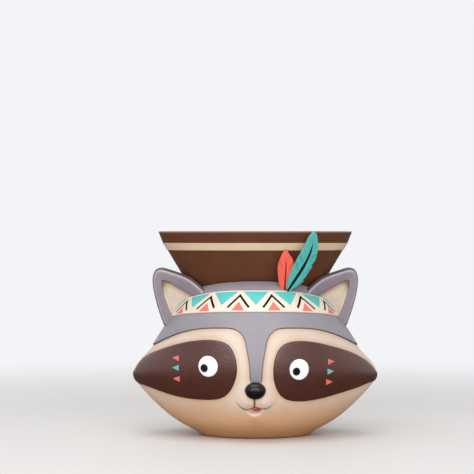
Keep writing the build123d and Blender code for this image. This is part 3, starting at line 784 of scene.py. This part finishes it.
# Headband: its edges are tables of heights over places across the head, in shares of the head's size
band = {
    "across": (0, 0.22, 0.35, 0.47, 0.565, 0.67, 0.78),
    "low": (0.791, 0.789, 0.785, 0.777, 0.767, 0.745, 0.707),
    "high": (0.92, 0.917, 0.905, 0.883, 0.863, 0.839, 0.804),
    "radius": 72.0, "count": 14, "around": 360, "rim": 1.1, "sunk": 0.3, "under": 0.6, "stroke": 1.95,
    "teal": ((-12.4, 0.915), (12.4, 0.915), (0, 0.33)), "coral": ((-6.3, 0.085), (6.3, 0.085), (0, 0.475)),
    "chevron": ((-10.425, 0.22), (0, 0.75), (10.425, 0.22)), "rise": 0.35, "patternRim": 0.5,
}
bandPlaces = np.array(band["across"]) * head["width"] / 2
bandSpread = np.concatenate((-bandPlaces[:0:-1], bandPlaces))


def mirroredTable(values):
    # a table of heights that is the same on both sides of the middle
    values = np.array(values) * head["dome"]
    return smoothTable(bandSpread, np.concatenate((values[:0:-1], values)))


bandLowAt, bandHighAt = mirroredTable(band["low"]), mirroredTable(band["high"])


def bandHeight(turn, share):
    # height on the band at this turn: its edges hang on how far across the head the place is
    across = np.clip(band["radius"] * np.cos(turn), bandSpread[0], bandSpread[-1])
    for _ in range(4):
        high = blend(bandLowAt(across), bandHighAt(across), share)
        across = np.clip(widthAt(high) * np.cos(turn), bandSpread[0], bandSpread[-1])
    return high


def bandSkin():
    # rings along the band, with a quarter circle at its lower and its upper edge
    turn = np.linspace(-math.pi, math.pi, band["around"], endpoint=False)
    low, high = bandHeight(turn, 0.0), bandHeight(turn, 1.0)
    roundOff = np.linspace(0, math.pi / 2, 7)
    edge, climb = band["rim"] * (1 - np.cos(roundOff)), np.sin(roundOff)
    lowRows, highRows = low + edge[:, None], high - edge[::-1, None]
    inner = np.linspace(0, 1, 14)[1:-1, None]
    heights = np.concatenate((lowRows, blend(lowRows[-1], highRows[0], inner), highRows))
    level = np.concatenate((climb, np.ones(len(inner)), climb[::-1]))[:, None]
    outer = headPoint(turn, heights, layers["cap"] - band["sunk"] + level * (layers["trim"] + band["sunk"]))
    under = headPoint(turn, blend(high, low, np.array([[0], [0.5], [1]])), layers["cap"] - band["under"])
    # painted shade: a dark line along the band's lower edge, half as strong along its upper edge, and full on
    # the hidden underside
    rimShade = np.concatenate((np.sqrt(1 - climb), np.zeros(len(inner)), 0.5 * (1 - climb[::-1]), np.ones(3)))
    return skin(np.concatenate((outer, under)), "joined", {"edge": rimShade[:, None]})


bandTop = layers["cap"] + layers["trim"]
bandTall = float(bandHeight(np.array(front), 1.0) - bandHeight(np.array(front), 0.0))


def onBand(angle):
    # places of the pattern at one turn of the band: sideways, and up from its lower edge where it is in front
    def place(sideways, up, gap):
        share = up / bandTall
        turn = angle + front + sideways / band["radius"]
        reach = np.linalg.norm(headPoint(turn, bandHeight(turn, share), bandTop)[..., :2], axis=-1)
        turn = angle + front + sideways / reach
        return headPoint(turn, bandHeight(turn, share), gap)
    return place


def patternPillow(angle, corners):
    # one triangle of the pattern
    outline = dividedPath(np.array(corners) * (1, bandTall), 60, closed=True)
    return pillow(outline, onBand(angle), bandTop - 0.1, band["rise"], band["patternRim"], 0.3, rings=5,
                  rimMark=0.4)


def chevronSkin(angle):
    # one line up to the peak and down again
    path = dividedPath(np.array(band["chevron"]) * (1, bandTall), 16)
    return stroke(path, band["stroke"] / 2, onBand(angle), bandTop, band["rise"])


steps = np.arange(band["count"]) * 2 * math.pi / band["count"]
between = steps + math.pi / band["count"]
dress("headbandStrip", [bandSkin()], "band_ground", "headband")
for color, angles in (("teal", steps), ("coral", between)):
    triangles = [patternPillow(angle, band[color]) for angle in angles]
    dress("band" + color.capitalize(), triangles, "band_" + color, "band_" + color + "_triangles")
dress("bandChevrons", [chevronSkin(angle) for angle in between], "dark_line", "band_chevrons")
print("headband made")

# Ears: an outline in front view on a curved upright sheet, carried back by its thickness
ear = {
    "inner": 48.8, "width": 52.4, "low": 104.0, "rise": 62.0, "thick": (-4.0, 8.0), "frontDepth": 46.0,
    "front": ((-0.053, 1), (0.5, 0.48), (1.053, 0.26)), "sunk": 2.4, "lining": 1.2, "liningRise": 0.3,
    "liningRim": 1.5, "round": 2.0, "bevelInner": 3.0, "bevelOuter": 1.3, "bevelDeep": 3.4, "face": 0.25,
    "innerSide": (0.7, 1.3), "rootTurn": -0.3, "shadeSide": (0.5, 1.3), "searchLow": 66.0, "seat": 1.2,
    "outline": ((0, 0.66), (0.15, 0.77), (0.29, 0.855), (0.464, 0.92), (0.721, 0.988), (0.865, 1.01),
                (0.96, 0.975), (1.005, 0.905), (1.02, 0.82), (1.005, 0.668), (0.955, 0.474), (0.885, 0.279),
                (0.8, 0.084)),
    "root": ((0.3, 0), (0, 0.35)), "centre": (80.0, 136.0),
    "liningLine": ((0.231, 0.562), (0.37, 0.63), (0.52, 0.697), (0.68, 0.775), (0.85, 0.825), (0.836, 0.668),
                   (0.777, 0.505), (0.7, 0.327), (0.653, 0.231), (0.45, 0.15), (0.25, 0.35)),
    "cornerShadeAt": (92.0, 153.5), "cornerShadeSize": (6.0, 6.0),
}
earFrontAt = smoothTable([ear["inner"] + ear["width"] * across for across, _ in ear["front"]],
                         [-ear["frontDepth"] * deep for _, deep in ear["front"]])
earThick = math.hypot(*ear["thick"])
earCentre = np.array(ear["centre"])


def earPlace(shares):
    # shares of the ear's width and height as places in front view
    return np.array(shares) * (ear["width"], ear["rise"]) + (ear["inner"], ear["low"])


def headTopAt(across, along):
    # the highest place of the head's capped surface over a place in plan, found by halving; -1 outside it
    gap = layers["cap"]

    def inside(level):
        reach = across / (widthAt(level) + gap)
        pinch = 1 - pinchAt(level) * reach ** 2
        edge = (depthAt(level) + gap) * np.sqrt(np.clip(1 - reach ** 2, 0, 1)) * pinch
        return (np.abs(reach) < 1) & (np.abs(along) < edge)

    return np.where(inside(ear["searchLow"]), halve(ear["searchLow"], head["dome"], inside), -1.0)


def earPoint(side, across, high, deep):
    # a place of the ear this deep behind its front, lifted onto the head where it would go into it
    share = deep / earThick
    along = earFrontAt(across - share * ear["thick"][0]) + share * ear["thick"][1]
    across, along, high = np.broadcast_arrays(across, along, high)
    return np.stack((side * across, along, np.maximum(high, headTopAt(across, along) - ear["seat"])), -1)


def byAngle(line, centre, count=220):
    # the outline seen from its middle at even turns: its distance there, read off between its points
    line = dividedPath(line, 3000, closed=True)
    angle = np.mod(np.arctan2(line[:, 1] - centre[1], line[:, 0] - centre[0]), 2 * math.pi)
    order = np.argsort(angle)
    even = fullTurn(count)
    reach = np.interp(even, angle[order], np.linalg.norm(line - centre, axis=1)[order], period=2 * math.pi)
    return centre + reach[:, None] * np.stack((np.cos(even), np.sin(even)), -1)


earSide = smoothPath(earPlace(ear["outline"]), 200)
earRim = byAngle(np.concatenate((earSide, earPlace(ear["root"]))), earCentre)
liningRim = softened(byAngle(earPlace(ear["liningLine"]), earCentre), 3)


def earSkin(side):
    # rings: out of the recess, over the frame to its ridge, down the bevel, round and back over the rear face
    floor = ear["sunk"] + ear["lining"]
    away = earRim - earCentre
    angle = np.arctan2(away[:, 1], away[:, 0])
    run = np.roll(earRim, -3, axis=0) - np.roll(earRim, 3, axis=0)
    straight = np.stack((-run[:, 1], run[:, 0]), -1) / np.linalg.norm(run, axis=1, keepdims=True)
    wide = blend(ear["bevelOuter"], ear["bevelInner"], smoothStep(*ear["innerSide"], angle))
    wide = np.where(angle < ear["rootTurn"], ear["bevelOuter"], wide)[:, None]
    ridge = softened(earRim + straight * wide, 4)
    back = earRim - ear["round"] * away / np.linalg.norm(away, axis=1, keepdims=True)

    # each ring has its flat outline, its depth, and how much painted shade (edge) and painted highlight on
    # the ridge (light) it takes
    rings = [(blend(earCentre, liningRim, share), floor, 1, 0) for share in (0.05, 0.4, 0.75, 1.0)]
    rings += [(liningRim, floor * 0.7, 0.8, 0), (liningRim, floor * 0.4, 0.8, 0), (liningRim, 0.9, 0.5, 0),
              (blend(liningRim, ridge, 0.03), 0.55, 0.2, 0.2)]
    rings += [(blend(liningRim, ridge, share), 0.45 * (1 - share) ** 2, 0.12 * (1 - share),
               max(0, (share - 0.8) * 5)) for share in (0.1, 0.25, 0.45, 0.65, 0.82, 0.92, 1.0)]
    rings += [(blend(ridge, earRim, share), ear["face"] + ear["bevelDeep"] * share ** 1.3,
               0.75 * min(1, share * 2.5), 1 - min(1, share * 5))
              for share in (0.12, 0.3, 0.55, 0.8, 0.93, 1.0)]
    bevelEnd, roundStart = ear["face"] + ear["bevelDeep"], earThick - ear["round"]
    rings += [(earRim, blend(bevelEnd, roundStart + ear["face"], share), 0.5, 0) for share in (0.3, 0.6, 0.8)]
    rings += [(blend(earRim, back, 1 - math.cos(turn)), roundStart + ear["round"] * math.sin(turn), 0.3, 0)
              for turn in np.linspace(0, math.pi / 2, 6)[1:]]
    rings += [(blend(earCentre, back, share), earThick, 0.1, 0) for share in (0.9, 0.7, 0.45, 0.25, 0.05)]
    grid = np.stack([earPoint(side, flat[:, 0], flat[:, 1], deep) for flat, deep, _, _ in rings])
    edge, light = (np.array([ring[k] for ring in rings], float)[:, None] for k in (2, 3))
    # the painted shade and painted highlight are strongest on the upper side of the ear's outline
    onTop = smoothStep(*ear["shadeSide"], angle)
    marks = {"edge": edge * np.maximum(onTop, 0.35), "light": light * np.maximum(onTop, 0.3)}
    return skin(grid, "poles", marks)


def liningSkin(side):
    # a pillow in the recess, with painted shade in brown in its upper corner and along its upper edge, and a
    # painted highlight along its outer edge
    def markTones(flat, edge):
        angle = np.arctan2(flat[..., 1] - earCentre[1], flat[..., 0] - earCentre[0])
        corner = softSpot(flat[..., 0], flat[..., 1], ear["cornerShadeAt"], ear["cornerShadeSize"])
        above = smoothStep(0.5, 0.9, angle)
        outside = smoothStep(0.55, 0.3, angle) * smoothStep(-1.4, -0.9, angle)
        return {"edge": np.clip(0.75 * corner + 0.6 * above * edge ** 3 + 0.12 * edge, 0, 1),
                "light": smoothStep(0.75, 0.95, edge) * outside}

    def place(across, high, gap):
        return earPoint(side, across, high, ear["sunk"] - gap)

    return pillow(blend(earCentre, liningRim, 0.995), place, 0.0, ear["liningRise"], ear["liningRim"],
                  ear["lining"], rings=16, rimMark=8.0, more=markTones)


for name, side in (("left", -1), ("right", 1)):
    dress("ear" + name.capitalize() + "Frame", [earSkin(side)], "ear_grey", "ear_" + name)
    dress("ear" + name.capitalize() + "Lining", [liningSkin(side)], "ear_cream", "ear_lining_" + name)
print("ears made")

# Feathers: leaning forward in front of the pot; an outline is some smooth lines that meet in corners
feather = {
    "thick": 2.4, "gap": 0.2, "lean": 12.7, "footDepth": 54.5, "footHigh": 145.0, "quillProud": 0.4,
    "splitWidth": 0.45, "sweep": 0.9, "side": 0.6, "rim": 1.2, "seat": 0.6,
    "coral": {
        "quillWidth": (0.9, 1.7),
        "outline": (((24.2, 146), (22, 153.4), (21.2, 161.2), (20.9, 168.5), (23.2, 176.7), (26.8, 183.4),
                     (28.6, 185.6)),
                    ((28.6, 185.6), (30.4, 183.6), (32.8, 179.8), (34.8, 177.2), (36.4, 172.0), (37, 166),
                     (36, 159), (32.4, 150), (30.0, 146))),
        "splits": (((35.8, 172.6), (33.8, 170.6), (32.2, 167.0)),
                   ((22.6, 174.0), (24.6, 171.4), (25.6, 167.6))),
        "quill": ((28.9, 176.4), (29.0, 167), (28.6, 160), (28.2, 153), (27.9, 145.5))},
    "teal": {
        "quillWidth": (1.3, 2.1, 3.0, 3.0, 2.0),
        "outline": (((30.6, 144.6), (29.6, 149), (31.0, 157), (33.8, 164.6), (37.6, 173.4)),
                    ((37.6, 173.4), (42.4, 182), (44.9, 186.2), (48.0, 192.7), (51.0, 198.6), (55.8, 203.4)),
                    ((55.8, 203.4), (58.5, 199.8), (59.4, 195), (60.0, 189), (59.2, 182.4), (57.2, 175.6),
                     (53.4, 170.4)),
                    ((54.6, 168.6), (52.0, 165.6), (49.6, 161.6), (46.4, 157.4), (45.2, 156.2)),
                    ((45.8, 154.6), (42.8, 152.2), (39.2, 149.6), (34.4, 146.6), (32.6, 144.6))),
        "splits": (((41.8, 181.6), (43.6, 178.0), (44.8, 173.6)),
                   ((58.8, 181.8), (55.6, 180.0), (52.4, 174.6)),
                   ((53.2, 169.0), (51.0, 167.4), (48.2, 163.4)),
                   ((44.6, 155.2), (42.2, 154.0), (40.0, 151.8)),
                   ((38.2, 174.0), (39.8, 170.2), (40.0, 166.0))),
        "quill": ((55.0, 193.4), (53.8, 188), (51.3, 180.6), (48.1, 173.8), (44.3, 167), (39.5, 159.4),
                  (35.0, 152.6), (30.8, 146.2))},
}
leanAngle = math.radians(feather["lean"])


def featherPoint(across, high, deep):
    # a place in the leaning plane behind the band, moved forward along its facing and kept above the band
    across, high, deep = np.broadcast_arrays(across, high, deep)
    up = feather["footHigh"] + high * math.cos(leanAngle) - deep * math.sin(leanAngle)
    along = -feather["footDepth"] - high * math.sin(leanAngle) - deep * math.cos(leanAngle)
    return np.stack((across, along, np.maximum(up, bandHighAt(across) - feather["seat"])), -1)


def featherFlat(places):
    # places in front view, with (height - foot) / cos(lean) as the height along the leaning plane
    return (np.array(places) - (0, feather["footHigh"])) / (1, math.cos(leanAngle))


def featherSkins(shape, forward):
    # the vane is a soft sided layer whose barbs sweep out from its quill, a line of changing width
    sides = [smoothPath(featherFlat(part), 30 + 12 * len(part)) for part in shape["outline"]]
    outline = np.concatenate([part[:-1] if np.allclose(part[-1], after[0]) else part
                              for part, after in zip(sides, sides[1:] + sides[:1])])
    spine = smoothPath(featherFlat(shape["quill"]), 60)
    reach = smoothPath(np.concatenate((2 * spine[:1] - spine[8:9], spine)), 400)

    def barbs(flat, edge):
        apart = np.sqrt(((flat[..., None, :] - reach) ** 2).sum(-1))
        along = apart.argmin(-1) / len(reach) * lengthAlong(reach)[-1]
        torn = np.min([gapTo(smoothPath(featherFlat(split), 24), flat) for split in shape["splits"]], axis=0)
        return {"barb": along + feather["sweep"] * apart.min(-1), "split": bell(torn, feather["splitWidth"])}

    side = feather["side"]
    vane = pillow(outline, featherPoint, forward + side, feather["thick"] - side, feather["rim"], side,
                  rings=22, rimMark=0.8, more=barbs)
    share = np.linspace(0, 1, len(spine))
    widths = np.interp(share, np.linspace(0, 1, len(shape["quillWidth"])), shape["quillWidth"]) / 2
    widths = widths * np.minimum(1, np.linspace(0.15, 6, len(spine)))
    line = stroke(spine, widths, featherPoint, forward + feather["thick"] - 0.1, feather["quillProud"])
    return vane, line


forward = 0.0
for kind, quillSlot in (("coral", "quill_red"), ("teal", "quill_dark")):
    vane, line = featherSkins(feather[kind], forward)
    dress(kind + "Feather", [vane], "feather_" + kind + "_paint", "feather_" + kind)
    dress(kind + "Quill", [line], quillSlot, "quill_" + kind)
    forward += feather["thick"] + feather["quillProud"] + feather["gap"]
print("feathers made")


def ovalRings(profile, around=256):
    # stacked ovals: half width * cos(angle), half depth * sin(angle) and the height of each entry
    angle = fullTurn(around)
    wide, deep, high = (profile[:, k, None] for k in range(3))
    return np.stack(np.broadcast_arrays(wide * np.cos(angle), deep * np.sin(angle), high), -1)


def roundedProfile(corners, radii, steps=6, longRun=6):
    # a closed profile of corners with rings along the long runs; each corner is rounded by a parabola:
    # (1 - share) squared * start + 2 * share * (1 - share) * corner + share squared * end
    corners, rings = np.asarray(corners, float), []
    share = np.linspace(0, 1, steps)[:, None]
    for k, radius in enumerate(radii):
        before, here, after = corners[k - 1], corners[k], corners[(k + 1) % len(corners)]
        back, ahead = before - here, after - here
        backLong, aheadLong = np.linalg.norm(back[[0, 2]]), np.linalg.norm(ahead[[0, 2]])
        reach = min(radius, backLong / 2.5, aheadLong / 2.5)
        start, end = here + back * reach / backLong, here + ahead * reach / aheadLong
        rings.append((1 - share) ** 2 * start + 2 * share * (1 - share) * here + share ** 2 * end)
        if aheadLong > longRun:
            stop = after - ahead * min(radius, aheadLong / 2.5) / aheadLong
            rings.append(blend(end, stop, np.linspace(0, 1, 8)[1:-1, None]))
    return np.concatenate(rings)


def potSkin():
    # round the pot's section: out along its underside, up the wall, over the collar and rim, and down inside
    wall, bore, inLow = pot["wall"], pot["bore"] / 2, pot["stand"] + pot["floor"]
    outside = list(zip(potWidths, potDepths, potHeights))
    inside = [(wide - wall, deep - wall, high) for wide, deep, high in outside[:0:-1]]
    corners = [(bore, bore, pot["stand"]), *outside, (collarHalf, collarHalf - ovalTrim, collarLow),
               (pot["width"] / 2, pot["depth"] / 2, pot["rimHigh"]),
               (pot["width"] / 2 - wall, pot["depth"] / 2 - wall, pot["rimHigh"]), *inside,
               (potWidths[0] - wall + 0.8, potDepths[0] - wall + 0.8, inLow), (bore, bore, inLow)]
    radii = (0.3, 1.5, 6.0, 6.0, 0.15, 0.5, pot["round"], pot["round"], 1.0, 6.0, 6.0, 3.0, 0.3)
    rows = ovalRings(roundedProfile(corners, radii))
    # a painted highlight along the rounded rim
    low, high = (pot["rimHigh"] - below for below in pot["rimHighlight"])
    return skin(rows, "joined", {"edge": 0, "light": smoothStep(low, high, rows[..., 2])})


def stripeSkin():
    # a ring round the pot under its collar: a little into the wall, and a little proud of it
    low, into, proud = wallHalf - pot["flare"] * pot["stripe"], -0.3, pot["stripeProud"]
    sides = ((low + into, collarLow - pot["stripe"]), (low + proud, collarLow - pot["stripe"]),
             (wallHalf + proud, collarLow - 0.02), (wallHalf + into, collarLow - 0.02))
    corners = [(half, half - ovalTrim, high) for half, high in sides]
    return skin(ovalRings(roundedProfile(corners, (0.05, 0.5, 0.4, 0.05))), "joined", {"edge": 0})


dress("brownPot", [potSkin()], "pot_brown", "pot", body="pot")
dress("potStripe", [stripeSkin()], "stripe_cream", "pot_stripe", body="pot")
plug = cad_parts["drain_plug"]
plug.data.materials.clear()
plug.data.materials.append(finishes["plug_rubber"])
print("pot made")

# Floor, light and camera
stage = {
    "reach": 7.0, "floor": (226, 223, 220), "floorDark": (220, 218, 216), "mirrored": (96, 84, 76),
    "world": tint((243, 244, 247)), "worldLight": 0.42, "fadeFrom": 0.3, "fadeTo": 1.1,
}


def floorFinish():
    # pale, darker in reflections, and fading into the pale room where the camera looks across it
    paint = Paint("pale_floor")
    cloud = paint.ramp(paint.noise(0.6, 3.0), 0.3, 0.7, 0.0, 0.4)
    rays = paint.add("LightPath").outputs
    color = paint.mix(cloud, tint(stage["floor"]), tint(stage["floorDark"]))
    paint.finishWith(paint.mix(rays["Is Glossy Ray"], color, tint(stage["mirrored"])), 0.6, 0.05)
    far = paint.add("VectorMath", (paint.where,), operation="LENGTH").outputs["Value"]
    fade = paint.times(paint.ramp(far, stage["fadeFrom"], stage["fadeTo"]), rays["Is Camera Ray"])
    glow = paint.add("Emission", (stage["world"],)).outputs[0]
    mixed = paint.add("MixShader", (fade, paint.shader.outputs[0], glow)).outputs[0]
    paint.feed(paint.nodes["Material Output"], {"Surface": mixed})
    return paint.owner


angle = fullTurn(96)
disc = np.stack((np.cos(angle), np.sin(angle), np.zeros(len(angle))), -1) * stage["reach"]
floorMesh = bpy.data.meshes.new("paleFloor")
floorMesh.from_pydata(disc.tolist(), [], [list(range(len(angle)))])
floorMesh.materials.append(floorFinish())
floor = placed("paleFloor", floorMesh)

# The room is full bright to the camera and in reflections, and a softer light on everything else
room = Wiring(bpy.data.worlds.new("softRoom"))
rays = room.add("LightPath").outputs
seen = room.compute("MAXIMUM", rays["Is Camera Ray"], rays["Is Glossy Ray"])
room.feed(room.nodes["Background"], (stage["world"], room.ramp(seen, 0.0, 1.0, stage["worldLight"], 1.0)))
bpy.context.scene.world = room.owner
bpy.context.scene.view_settings.view_transform = "Standard"

lamps = {
    "windowLight": {"place": (-0.03, -1.75, 0.9), "size": (2.8, 1.0), "power": 28.0},
    "topLight": {"place": (-0.2, -0.3, 1.9), "size": (1.6, 1.6), "power": 18.0},
}
lampAim = (0.0, 0.0, 0.09)
for name, lamp in lamps.items():
    light = bpy.data.lights.new(name, "AREA")
    light.shape = "RECTANGLE"
    light.size, light.size_y = lamp["size"]
    light.energy = lamp["power"]
    holder = placed(name, light)
    holder.location = lamp["place"]
    x, y, z = np.subtract(lampAim, lamp["place"])
    tilt, pan = math.atan2(-z, math.hypot(x, y)), math.atan2(y, x)
    holder.rotation_euler = (math.pi / 2 - tilt, 0, pan - math.pi / 2)

view = {"place": (-0.0182, -1.75, 0.197), "lens": 132.9, "sensor": 36.0}
camera = placed("viewCamera", bpy.data.cameras.new("viewCamera"))
camera.data.lens = view["lens"]
camera.data.sensor_width = view["sensor"]
camera.location = view["place"]
camera.rotation_euler = (math.pi / 2, 0, 0)
bpy.context.scene.camera = camera
print("stage set")
